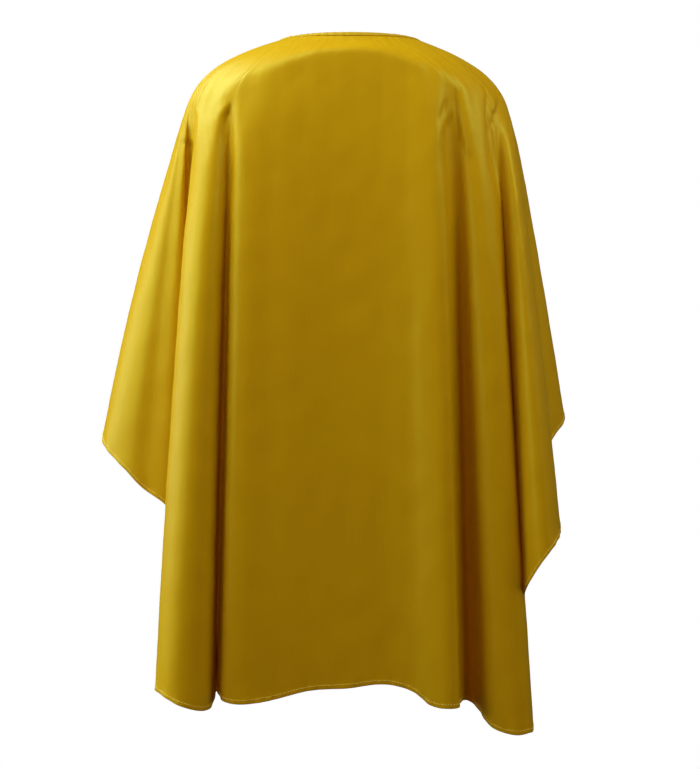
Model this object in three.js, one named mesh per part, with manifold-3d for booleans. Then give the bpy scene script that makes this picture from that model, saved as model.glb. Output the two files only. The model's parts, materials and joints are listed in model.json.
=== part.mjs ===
// Barber cape: one sheet of satin cloth cut with a long front and a short back,
// bound at the neck, open down the centre back and closed there by a snap tab.
// Units are millimetres, +Z is up, the front of the cape faces -Y.
// The origin is the centre of the neck opening, level with its front top edge.

import * as THREE from 'three';
import { mergeVertices } from 'three/addons/utils/BufferGeometryUtils.js';
import Module from 'manifold-3d';

// ---------------------------------------------------------------- dimensions
const NECK_HALF_WIDTH = 88;      // neck opening, side to side, half
const NECK_HALF_DEPTH_FRONT = 65;
const NECK_HALF_DEPTH_BACK = 62;
const NECK_BACK_POWER = 4;       // squarer curve behind, so the closure lies flat
const NECK_BACK_RISE = 6;        // the neck edge is higher behind
const SLIT_HALF_GAP = 3.5;       // half the gap between the two back edges, at the neck

const SHEET_THICKNESS = 1.0;
const SHEET_COLUMNS = 112;       // around the cape, from one back edge to the other
const SHOULDER_ROWS = 4;
const FALL_ROWS = 7;

const BINDING_HEIGHT = 7;
const BINDING_WALL = 0.6;
const CLEARANCE = 0.3;

const BAND_TOP = -3;             // closure band, top and bottom edges
const BAND_BOTTOM = -27;
const UNDERLAP_Y = 63.6;         // inner face of the underlap
const UNDERLAP_X = [-39, 54];
const OVERLAP_Y = 68.5;          // inner face of the overlap tab
const OVERLAP_END_X = 38;
const BAND_THICKNESS = 1.8;
const BAND_WALL = 0.4;
const INTERLINING_THICKNESS = 0.4;
const HINGE = [-43.5, OVERLAP_Y + BAND_THICKNESS / 2];

const SNAP_PITCH = 18;
const STUD_X = [-2, -1, 0, 1, 2].map((k) => 9 + k * SNAP_PITCH);
const SOCKET_X = [9, 9 + SNAP_PITCH];
const SNAP_Z = (BAND_TOP + BAND_BOTTOM) / 2;

// ------------------------------------------------------------------ key table
// Each row: shoulder edge x, y, z, then hem x, y, z. The rows run from the left
// back edge, round the front, to the right back edge. Ridges and valleys of the
// hanging folds follow from the hem points.
const KEYS = [
  [-5, 92, -84, -20, 222, -405],
  [-30, 94, -85, -34, 236, -412],
  [-58, 95, -86, -54, 240, -426],
  [-86, 96, -84, -74, 200, -450],
  [-112, 94, -80, -106, 256, -484],
  [-150, 87, -85, -122, 192, -533],
  [-178, 76, -92, -168, 248, -556],
  [-194, 66, -97, -176, 168, -522],
  [-206, 56, -102, -228, 206, -484],
  [-214, 45, -106, -224, 130, -458],
  [-220, 33, -109, -284, 134, -464],
  [-223, 21, -111, -272, 82, -480],
  [-225, 9, -112, -318, 66, -503],
  [-225, -3, -112, -333, 24, -527.3],
  [-223, -15, -112, -325.7, -8, -542.4],
  [-220, -27, -111, -292.8, -40, -572.9],
  [-218, -31, -110.6, -267.7, -47, -596.8],
  [-216, -35, -110.2, -238.7, -56, -617.8],
  [-213.5, -40, -109.5, -212, -34, -715],
  [-211.5, -43.8, -108.8, -193, -28, -815],
  [-209, -48, -108, -187, -48, -860],
  [-206.5, -51.3, -107.2, -200, -76, -852],
  [-203.5, -55.3, -106.2, -234, -98, -846],
  [-199.5, -59.5, -104.6, -248, -126, -844.3],
  [-193, -65.3, -102.6, -238.9, -148, -847.8],
  [-185.5, -71.1, -99.9, -223.6, -164, -854.6],
  [-177, -77.2, -96.6, -205.8, -168, -861.5],
  [-169, -82.2, -93.2, -188.9, -160, -866.5],
  [-162, -86, -90, -179, -142, -867.7],
  [-156.5, -88.2, -87.8, -174, -124, -861.1],
  [-152, -90, -86, -171, -112, -849.7],
  [-148, -91.3, -83.8, -165.6, -126, -851.9],
  [-143, -93, -81, -160, -143, -856.8],
  [-133, -94.5, -76, -143.1, -152, -859.8],
  [-114, -97, -65.4, -118.1, -150, -858.8],
  [-86, -98, -52.4, -90.7, -143, -854.3],
  [-54, -98, -42, -58.1, -137, -846.4],
  [-25, -98, -35.6, -27.8, -134, -843.6],
  [0, -98, -33, 0, -132, -842.6],
  [20, -98, -33.9, 26.6, -131, -838.7],
  [38, -98, -37.2, 48.1, -132, -838.1],
  [53, -98, -41.1, 67, -136, -841.5],
  [67, -98, -45.2, 83.2, -142, -848.1],
  [80, -98, -49.7, 96.7, -150, -858.8],
  [92, -97.8, -54.9, 110.2, -157, -863.3],
  [103, -97, -60, 123.8, -161, -863.9],
  [112.5, -97, -64.3, 134.7, -156, -863.8],
  [120, -96.3, -68.3, 138.5, -134, -862],
  [126, -95.6, -71.7, 144.1, -114, -860.9],
  [132.5, -94.6, -75.7, 152.5, -101, -863.6],
  [138.5, -93.3, -79.4, 161.3, -104, -870.2],
  [144.5, -91.6, -82.9, 168.9, -124, -880.8],
  [151.5, -89.4, -86.9, 180.3, -142, -891.6],
  [160, -85.5, -91.5, 197.2, -151, -896.9],
  [168.5, -80.7, -95.6, 214.9, -149, -899.1],
  [174.5, -76.6, -98.2, 227.9, -138, -898],
  [178.5, -73.6, -99.7, 234.8, -118, -897.8],
  [182.5, -70.5, -101.2, 230.8, -114, -879.3],
  [186, -67, -102.3, 224.9, -108, -815.2],
  [190.5, -61.9, -103.6, 219.6, -110, -745.9],
  [196.5, -55.3, -105, 228.7, -136, -706.3],
  [203, -46.5, -106.2, 247.5, -150, -673.5],
  [208, -38, -107.5, 268.4, -108, -649.1],
  [212, -28, -108.7, 269.4, -50, -628.7],
  [215, -15, -110, 262, -20, -597.6],
  [217, 4, -110, 263.1, 18, -562],
  [217, 12, -110, 274.7, 52, -533.5],
  [216, 20, -109, 295.9, 90, -508.4],
  [214, 30, -107, 284, 130, -490],
  [210, 40, -105, 246, 140, -470],
  [205, 49, -102, 256, 176, -456],
  [198, 58, -99, 218, 172, -455],
  [188, 67, -96, 216, 204, -480],
  [176, 75, -92, 170, 178, -512],
  [160, 82, -88, 162, 250, -556],
  [138, 89, -84, 118, 200, -542],
  [112, 93, -80, 104, 258, -492],
  [86, 95, -84, 70, 202, -450],
  [58, 95, -86, 50, 240, -425],
  [30, 94, -85, 32, 234, -412],
  [5, 92, -84, 18, 222, -405],
];

// ----------------------------------------------------------- sheet geometry
// Natural cubic spline through the rows, with a parameter that grows with the
// distance between neighbouring hem points.
function splineTable(rows) {
  const m = rows.length;
  const w = rows[0].length;
  const t = [0];
  for (let i = 1; i < m; i++) {
    const dh = Math.hypot(rows[i][3] - rows[i - 1][3], rows[i][4] - rows[i - 1][4], rows[i][5] - rows[i - 1][5]);
    t.push(t[i - 1] + dh ** 0.7 + 2);
  }
  const second = rows.map(() => new Array(w).fill(0));
  for (let c = 0; c < w; c++) {
    const a = new Array(m).fill(0), b = new Array(m).fill(1), d = new Array(m).fill(0), e = new Array(m).fill(0);
    for (let i = 1; i < m - 1; i++) {
      const h0 = t[i] - t[i - 1], h1 = t[i + 1] - t[i];
      a[i] = h0; b[i] = 2 * (h0 + h1); d[i] = h1;
      e[i] = 6 * ((rows[i + 1][c] - rows[i][c]) / h1 - (rows[i][c] - rows[i - 1][c]) / h0);
    }
    for (let i = 1; i < m; i++) {
      const f = a[i] / b[i - 1];
      b[i] -= f * d[i - 1];
      e[i] -= f * e[i - 1];
    }
    for (let i = m - 1; i >= 0; i--) {
      second[i][c] = (e[i] - (i < m - 1 ? d[i] * second[i + 1][c] : 0)) / b[i];
    }
  }
  return { rows, t, second };
}

function splineAt(table, s) {
  const { rows, t, second } = table;
  let k = 0;
  while (k < t.length - 2 && t[k + 1] < s) k++;
  const h = t[k + 1] - t[k], a = t[k + 1] - s, b = s - t[k];
  return rows[k].map((_, c) =>
    (second[k][c] * a ** 3 + second[k + 1][c] * b ** 3) / (6 * h) +
    (rows[k][c] / h - second[k][c] * h / 6) * a + (rows[k + 1][c] / h - second[k + 1][c] * h / 6) * b);
}

const TABLE = splineTable(KEYS);
const smooth = (a, b, x) => { const u = Math.min(1, Math.max(0, (x - a) / (b - a))); return u * u * (3 - 2 * u); };

// Neck edge at an angle from the front, positive towards +X.
function neckPoint(angle) {
  const s = Math.sin(angle), c = Math.cos(angle);
  let r;
  if (c >= 0) r = 1 / Math.hypot(s / NECK_HALF_WIDTH, c / NECK_HALF_DEPTH_FRONT);
  else {
    const n = NECK_BACK_POWER;
    r = (Math.abs(s / NECK_HALF_WIDTH) ** n + Math.abs(c / NECK_HALF_DEPTH_BACK) ** n) ** (-1 / n);
  }
  const y = -r * c;
  return [r * s, y, NECK_BACK_RISE * smooth(-10, NECK_HALF_DEPTH_BACK, y)];
}

// Direction of the cloth as it leaves the neck edge: sloping down the chest in
// front, nearly level on the shoulders, straight down behind.
function neckFrame(angle) {
  const p = neckPoint(angle);
  const q0 = neckPoint(angle - 0.01), q1 = neckPoint(angle + 0.01);
  const tangent = new THREE.Vector3(q1[0] - q0[0], q1[1] - q0[1], q1[2] - q0[2]).normalize();
  const out = new THREE.Vector3(tangent.y, -tangent.x, 0).normalize();
  const back = smooth(0.53 * Math.PI, 0.77 * Math.PI, Math.abs(angle));
  const front = 1 - smooth(0, 0.5 * Math.PI, Math.abs(angle));
  const right = smooth(0, 0.3 * Math.PI, angle) * (1 - smooth(0.5 * Math.PI, 0.62 * Math.PI, angle));
  const tilt = THREE.MathUtils.degToRad(17 + 33 * front + 73 * back + 4 * right);   // below level
  const down = out.clone().multiplyScalar(Math.cos(tilt)).add(new THREE.Vector3(0, 0, -Math.sin(tilt)));
  down.addScaledVector(tangent, -down.dot(tangent)).normalize();
  const normal = new THREE.Vector3().crossVectors(down, tangent).normalize();
  return { p: new THREE.Vector3(...p), tangent, down, normal, back };
}

// Whole course of one column, from the neck edge over the shoulder to the hem.
function columnPoints(row, shoulderRows, fallRows, startDepth) {
  const S = new THREE.Vector3(row[0], row[1], row[2]);
  const H = new THREE.Vector3(row[3], row[4], row[5]);
  const angle = Math.atan2(S.x, -S.y);
  const f = neckFrame(angle);
  const straight = 12 + 22 * f.back;
  const top = f.p.clone().addScaledVector(f.down, startDepth);
  const underBinding = f.p.clone().addScaledVector(f.down, BINDING_HEIGHT + 1);
  const N = f.p.clone().addScaledVector(f.down, straight);
  const wing = smooth(150, 205, Math.abs(S.x)) * smooth(0.1, 0.3, Math.abs(angle) / Math.PI);
  const fall = (t) => {
    const g = 0.5 * (1 - Math.exp(-7 * t)) / (1 - Math.exp(-7)) + 0.5 * t;
    const bow = wing * (S.x < 0 ? 0.13 * t * (1 - t) : 0.08 * (1 - Math.exp(-14 * t)) * (1 - t) ** 1.6);
    return new THREE.Vector3(
      S.x + (H.x - S.x) * (t + 0.14 * t * (1 - t) + bow),
      S.y + (H.y - S.y) * g,
      S.z + (H.z - S.z) * t);
  };
  const D = fall(0.06).sub(S).normalize();
  const d = S.distanceTo(N);
  const P1 = N.clone().addScaledVector(f.down, d * 0.48);
  const side = smooth(0.12, 0.36, Math.abs(angle) / Math.PI) * (1 - smooth(0.55, 0.75, Math.abs(angle) / Math.PI));
  const cap = smooth(22, 42, Math.abs(angle) * 180 / Math.PI) * (1 - smooth(60, 82, Math.abs(angle) * 180 / Math.PI));
  const P2 = S.clone().addScaledVector(D, -d * (0.42 - 0.05 * side - 0.15 * cap));
  const pts = [top, underBinding, N];
  for (let i = 1; i <= shoulderRows; i++) {
    const u = i / shoulderRows, v = 1 - u;
    pts.push(new THREE.Vector3()
      .addScaledVector(N, v * v * v).addScaledVector(P1, 3 * v * v * u)
      .addScaledVector(P2, 3 * v * u * u).addScaledVector(S, u * u * u));
  }
  for (let i = 1; i <= fallRows; i++) pts.push(fall((i / fallRows) ** 1.25));
  return pts;
}

function closedGeometry(vertices, triangles) {
  const g = new THREE.BufferGeometry();
  g.setAttribute('position', new THREE.Float32BufferAttribute(vertices, 3));
  g.setIndex(triangles);
  g.computeVertexNormals();
  return g;
}

// A grid of mid-surface points made into a thin closed shell.
function shell(grid, thickness) {
  const nc = grid.length, nr = grid[0].length, v = [];
  const normals = grid.map((col, i) => col.map((_, j) => {
    const du = new THREE.Vector3().subVectors(grid[Math.min(nc - 1, i + 1)][j], grid[Math.max(0, i - 1)][j]);
    const dv = new THREE.Vector3().subVectors(col[Math.min(nr - 1, j + 1)], col[Math.max(0, j - 1)]);
    return new THREE.Vector3().crossVectors(dv, du).normalize();
  }));
  for (const side of [0.5, -0.5]) {
    for (let i = 0; i < nc; i++) for (let j = 0; j < nr; j++) {
      const p = grid[i][j].clone().addScaledVector(normals[i][j], side * thickness);
      v.push(p.x, p.y, p.z);
    }
  }
  const id = (side, i, j) => side * nc * nr + i * nr + j;
  const tri = [];
  const quad = (a, b, c, d) => tri.push(a, b, c, a, c, d);
  for (let i = 0; i < nc - 1; i++) for (let j = 0; j < nr - 1; j++) {
    quad(id(0, i, j), id(0, i, j + 1), id(0, i + 1, j + 1), id(0, i + 1, j));
    quad(id(1, i, j), id(1, i + 1, j), id(1, i + 1, j + 1), id(1, i, j + 1));
  }
  for (let i = 0; i < nc - 1; i++) {
    quad(id(0, i, 0), id(0, i + 1, 0), id(1, i + 1, 0), id(1, i, 0));
    quad(id(0, i, nr - 1), id(1, i, nr - 1), id(1, i + 1, nr - 1), id(0, i + 1, nr - 1));
  }
  for (let j = 0; j < nr - 1; j++) {
    quad(id(0, 0, j), id(1, 0, j), id(1, 0, j + 1), id(0, 0, j + 1));
    quad(id(0, nc - 1, j), id(0, nc - 1, j + 1), id(1, nc - 1, j + 1), id(1, nc - 1, j));
  }
  return closedGeometry(v, tri);
}

// ------------------------------------------------------------------- booleans
const wasm = await Module();
wasm.setup();

function toManifold(geometry) {
  const g = geometry.clone();
  g.deleteAttribute('normal');
  g.deleteAttribute('uv');
  const m = mergeVertices(g, 1e-5);
  return new wasm.Manifold(new wasm.Mesh({
    numProp: 3,
    vertProperties: new Float32Array(m.attributes.position.array),
    triVerts: new Uint32Array(m.index.array),
  }));
}

function fromManifold(solid) {
  const m = solid.getMesh();
  return closedGeometry(Array.from(m.vertProperties), Array.from(m.triVerts));
}

const yCylinder = (r, y0, y1, x, z, n = 12) =>
  new THREE.CylinderGeometry(r, r, y1 - y0, n).translate(x, (y0 + y1) / 2, z);

const bar = (x0, x1, y0, y1, z0, z1) =>
  new THREE.BoxGeometry(x1 - x0, y1 - y0, z1 - z0).translate((x0 + x1) / 2, (y0 + y1) / 2, (z0 + z1) / 2);

// A flat strip in the XZ plane with rounded free corners, from y0 to y1.
function strip(x0, x1, z0, z1, y0, y1, rLeft, rRight) {
  const s = new THREE.Shape();
  s.moveTo(x0 + rLeft, z0);
  s.lineTo(x1 - rRight, z0);
  if (rRight) s.absarc(x1 - rRight, z0 + rRight, rRight, -Math.PI / 2, 0, false);
  s.lineTo(x1, z1 - rRight);
  if (rRight) s.absarc(x1 - rRight, z1 - rRight, rRight, 0, Math.PI / 2, false);
  s.lineTo(x0 + rLeft, z1);
  if (rLeft) s.absarc(x0 + rLeft, z1 - rLeft, rLeft, Math.PI / 2, Math.PI, false);
  s.lineTo(x0, z0 + rLeft);
  if (rLeft) s.absarc(x0 + rLeft, z0 + rLeft, rLeft, Math.PI, 1.5 * Math.PI, false);
  const g = new THREE.ExtrudeGeometry(s, { depth: y1 - y0, bevelEnabled: false, curveSegments: 4 });
  // shape (x, y) plus depth z  ->  x, -z, y : extrusion runs towards -Y, then shifted
  g.rotateX(Math.PI / 2);
  return g.translate(0, y1, 0);
}

// ------------------------------------------------------------------ materials
const satin = new THREE.MeshStandardMaterial({ name: 'satin', color: 0xc79a12, roughness: 0.42, metalness: 0, side: THREE.DoubleSide });
const bindingCloth = new THREE.MeshStandardMaterial({ name: 'binding_cloth', color: 0xb98b10, roughness: 0.55, metalness: 0 });
const bandCloth = new THREE.MeshStandardMaterial({ name: 'band_cloth', color: 0xc2950f, roughness: 0.5, metalness: 0 });
const interliningCloth = new THREE.MeshStandardMaterial({ name: 'interlining', color: 0xe9e6dc, roughness: 0.95, metalness: 0 });
const snapMetal = new THREE.MeshStandardMaterial({ name: 'snap_metal', color: 0xb9babc, roughness: 0.28, metalness: 1 });
const labelCloth = new THREE.MeshStandardMaterial({ name: 'label', color: 0xf3f1ea, roughness: 0.8, metalness: 0 });

const cape = new THREE.Group();
cape.name = 'barber_cape';
function add(name, geometry, material, parent = cape) {
  const mesh = new THREE.Mesh(geometry, material);
  mesh.name = name;
  parent.add(mesh);
  return mesh;
}

// ---------------------------------------------------------------- cape sheet
const total = TABLE.t[TABLE.t.length - 1];
const grid = [];
for (let i = 0; i < SHEET_COLUMNS; i++) {
  const row = splineAt(TABLE, total * i / (SHEET_COLUMNS - 1));
  grid.push(columnPoints(row, SHOULDER_ROWS, FALL_ROWS, BINDING_WALL + CLEARANCE));
}
add('cape_sheet', shell(grid, SHEET_THICKNESS), satin);

// -------------------------------------------------------------- neck binding
// A U-shaped channel folded over the top edge of the sheet, open at the back.
function binding() {
  const half = SHEET_THICKNESS / 2 + 1.4 * CLEARANCE;
  const o = half + BINDING_WALL, h = BINDING_HEIGHT, w = BINDING_WALL;
  const profile = [[-o, 0], [-o, h], [-half, h], [-half, w], [half, w], [half, h], [o, h], [o, 0]];
  const v = [], tri = [], n = profile.length;
  const columns = [];
  for (let i = 0; i < SHEET_COLUMNS; i++) {
    const row = splineAt(TABLE, total * i / (SHEET_COLUMNS - 1));
    columns.push(Math.atan2(row[0], -row[1]));
  }
  for (const angle of columns) {
    const f = neckFrame(angle);
    for (const [a, b] of profile) {
      const p = f.p.clone().addScaledVector(f.normal, a).addScaledVector(f.down, b);
      v.push(p.x, p.y, p.z);
    }
  }
  const m = columns.length;
  for (let i = 0; i < m - 1; i++) for (let j = 0; j < n; j++) {
    const a = i * n + j, b = i * n + (j + 1) % n, c = (i + 1) * n + (j + 1) % n, d = (i + 1) * n + j;
    tri.push(a, b, c, a, c, d);
  }
  const faces = THREE.ShapeUtils.triangulateShape(profile.map(([a, b]) => new THREE.Vector2(a, b)), []);
  for (const [a, b, c] of faces) {
    tri.push(a, b, c);
    tri.push((m - 1) * n + a, (m - 1) * n + c, (m - 1) * n + b);
  }
  return closedGeometry(v, tri);
}

// Turns the faces outward where a swept body came out inside out.
function outward(geometry) {
  const p = geometry.attributes.position, ix = geometry.index.array;
  let volume = 0;
  const a = new THREE.Vector3(), b = new THREE.Vector3(), c = new THREE.Vector3();
  for (let i = 0; i < ix.length; i += 3) {
    a.fromBufferAttribute(p, ix[i]); b.fromBufferAttribute(p, ix[i + 1]); c.fromBufferAttribute(p, ix[i + 2]);
    volume += a.dot(b.cross(c));
  }
  if (volume > 0) return geometry;
  const flipped = [];
  for (let i = 0; i < ix.length; i += 3) flipped.push(ix[i], ix[i + 2], ix[i + 1]);
  return closedGeometry(Array.from(p.array), flipped);
}
cape.children[0].geometry = outward(cape.children[0].geometry);
add('neck_binding', outward(binding()), bindingCloth);

// ------------------------------------------------------------- closure bands
// Each band is a sleeve of folded cloth with a stiff interlining in it; the end
// that is sewn to the cape is open.
function sleeve(x0, x1, openLeft, y0, holes) {
  const y1 = y0 + BAND_THICKNESS;
  let solid = toManifold(strip(x0, x1, BAND_BOTTOM, BAND_TOP, y0, y1, openLeft ? 0 : 7, openLeft ? 7 : 0));
  const cx0 = openLeft ? x0 - 1 : x0 + 3, cx1 = openLeft ? x1 - 3 : x1 + 1;
  solid = solid.subtract(toManifold(strip(cx0, cx1, BAND_BOTTOM + 2, BAND_TOP - 2, y0 + BAND_WALL, y1 - BAND_WALL, openLeft ? 0 : 4, openLeft ? 4 : 0)));
  for (const x of holes) solid = solid.subtract(toManifold(yCylinder(1.7, y0 - 1, y1 + 1, x, SNAP_Z, 10)));
  return fromManifold(solid);
}

function interlining(x0, x1, roundLeft, y0, holes) {
  const mid = y0 + BAND_THICKNESS / 2, h = INTERLINING_THICKNESS / 2;
  let solid = toManifold(strip(x0, x1, BAND_BOTTOM + 2.6, BAND_TOP - 2.6, mid - h, mid + h, roundLeft ? 4 : 0, roundLeft ? 0 : 4));
  for (const x of holes) solid = solid.subtract(toManifold(yCylinder(1.7, mid - 3, mid + 3, x, SNAP_Z, 10)));
  return fromManifold(solid);
}

add('underlap_band', sleeve(UNDERLAP_X[0], UNDERLAP_X[1], false, UNDERLAP_Y, STUD_X), bandCloth);
add('underlap_interlining', interlining(UNDERLAP_X[0] + 3.6, UNDERLAP_X[1] - 1, true, UNDERLAP_Y, STUD_X), interliningCloth);

const closure = new THREE.Group();   // everything that swings open with the tab
cape.add(closure);
{
  let solid = toManifold(sleeve(HINGE[0], OVERLAP_END_X, true, OVERLAP_Y, SOCKET_X));
  add('overlap_tab', fromManifold(solid), bandCloth, closure);
  add('overlap_interlining', interlining(HINGE[0] + 2, OVERLAP_END_X - 3.6, false, OVERLAP_Y, SOCKET_X), interliningCloth, closure);
}

// Sewn-down root of the overlap, a strip that climbs from the sheet to the hinge.
function rootBand() {
  const plan = [[-61, 61.7], [-57, 62.2], [-53, 63.1], [-50, 64.4], [-47.4, 66.4], [-45.2, 68.4]].map(([x, y]) => new THREE.Vector2(x, y));
  const n = plan.length, w = 0.6, left = [], right = [];
  for (let i = 0; i < n; i++) {
    const a = plan[Math.max(0, i - 1)], b = plan[Math.min(n - 1, i + 1)];
    const t = new THREE.Vector2().subVectors(b, a).normalize();
    left.push(new THREE.Vector2(plan[i].x - t.y * w, plan[i].y + t.x * w));
    right.push(new THREE.Vector2(plan[i].x + t.y * w, plan[i].y - t.x * w));
  }
  const g = new THREE.ExtrudeGeometry(new THREE.Shape([...right, ...left.reverse()]),
    { depth: BAND_TOP - BAND_BOTTOM, bevelEnabled: false });
  return g.translate(0, 0, BAND_BOTTOM);
}
add('overlap_root', rootBand(), bandCloth);

// ----------------------------------------------------------------- press snaps
// Lathe profiles in (radius, height); height runs along +Y.
const turned = (profile, x, y, n = 14) =>
  new THREE.LatheGeometry(profile.map(([r, h]) => new THREE.Vector2(r, h)), n).translate(x, y, SNAP_Z);

function snapPart(profile, x, y) {
  const g = turned(profile, x, y);
  g.deleteAttribute('normal');
  g.deleteAttribute('uv');
  // degenerate triangles on the axis go, shared vertices are merged
  const m = mergeVertices(g, 1e-4);
  const ix = m.index.array, keep = [];
  for (let i = 0; i < ix.length; i += 3) {
    if (ix[i] !== ix[i + 1] && ix[i + 1] !== ix[i + 2] && ix[i] !== ix[i + 2]) keep.push(ix[i], ix[i + 1], ix[i + 2]);
  }
  return outward(closedGeometry(Array.from(m.attributes.position.array), keep));
}

const U = UNDERLAP_Y, O = OVERLAP_Y, B = BAND_THICKNESS;
STUD_X.forEach((x, i) => {
  // rivet: a thin disc behind the underlap with a pin through it
  add(`snap_rivet_${i + 1}`, snapPart([[0, -0.8], [4.2, -0.8], [4.4, -0.55], [4.2, -0.3], [1.2, -0.3], [1.2, B + 1.3], [0, B + 1.3]], x, U), snapMetal);
  // stud: flange and rounded head over the pin
  add(`snap_stud_${i + 1}`, snapPart([[1.5, B + 0.3], [5, B + 0.3], [5, B + 0.7], [2.3, B + 0.9], [1.9, B + 1.2], [2.2, B + 1.8], [1.6, B + 2.2], [0, B + 2.2], [0, B + 1.6], [1.5, B + 1.6], [1.5, B + 0.3]], x, U), snapMetal);
});
SOCKET_X.forEach((x, i) => {
  // socket: ring that grips the stud head, with a floor riveted to the tab
  add(`snap_socket_${i + 1}`, snapPart([[1.5, -0.3], [5.1, -0.3], [5.1, -2.0], [2.7, -2.0], [2.7, -0.7], [1.5, -0.7], [1.5, -0.3]], x, O), snapMetal, closure);
  // cap: domed outer disc with a pin through the tab
  add(`snap_cap_${i + 1}`, snapPart([[0, -0.4], [1.2, -0.4], [1.2, B + 0.3], [6, B + 0.3], [6.2, B + 0.6], [5.6, B + 1.0], [3.2, B + 1.35], [0, B + 1.5]], x, O), snapMetal, closure);
});

// ------------------------------------------------------------------ care label
// Blank folded tag hanging inside, under the binding.
add('care_label', bar(-44, -20, 59.6, 60.1, -40, -3), labelCloth);

export default cape;
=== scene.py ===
# Barber cape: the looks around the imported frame.
import json
import math

import bpy
import numpy as np
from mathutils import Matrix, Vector

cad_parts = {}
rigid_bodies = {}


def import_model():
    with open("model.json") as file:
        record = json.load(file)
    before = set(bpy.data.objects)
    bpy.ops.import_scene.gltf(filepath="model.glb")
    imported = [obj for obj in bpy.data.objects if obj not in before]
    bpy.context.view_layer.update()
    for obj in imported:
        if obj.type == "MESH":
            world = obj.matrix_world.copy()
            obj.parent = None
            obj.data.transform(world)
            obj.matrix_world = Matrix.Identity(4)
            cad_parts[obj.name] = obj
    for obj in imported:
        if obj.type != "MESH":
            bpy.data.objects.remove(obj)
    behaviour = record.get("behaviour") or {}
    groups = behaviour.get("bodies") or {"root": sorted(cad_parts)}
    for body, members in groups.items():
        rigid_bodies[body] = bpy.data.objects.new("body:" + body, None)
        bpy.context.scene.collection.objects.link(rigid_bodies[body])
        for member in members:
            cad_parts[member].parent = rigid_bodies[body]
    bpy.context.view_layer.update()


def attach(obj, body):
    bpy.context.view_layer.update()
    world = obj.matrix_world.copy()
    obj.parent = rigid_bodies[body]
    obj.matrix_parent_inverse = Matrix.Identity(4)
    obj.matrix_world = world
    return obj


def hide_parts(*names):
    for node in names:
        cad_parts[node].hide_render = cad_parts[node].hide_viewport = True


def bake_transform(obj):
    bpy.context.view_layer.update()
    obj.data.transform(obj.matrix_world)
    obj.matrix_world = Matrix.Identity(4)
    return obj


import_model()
scene = bpy.context.scene
RNG = np.random.default_rng(41)

# ------------------------------------------------------------------ camera
cam_data = bpy.data.cameras.new("view_camera")
cam = bpy.data.objects.new("view_camera", cam_data)
scene.collection.objects.link(cam)
cam.location = (0.0, -2.6, -0.458)
cam.rotation_euler = (math.radians(90), 0, 0)
cam_data.sensor_width = 36.0
cam_data.lens = 36.0 * 1950.0 / 769.0
cam_data.clip_start = 0.05
cam_data.clip_end = 60
scene.camera = cam
scene.view_settings.view_transform = "Standard"
scene.view_settings.look = "None"

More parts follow.
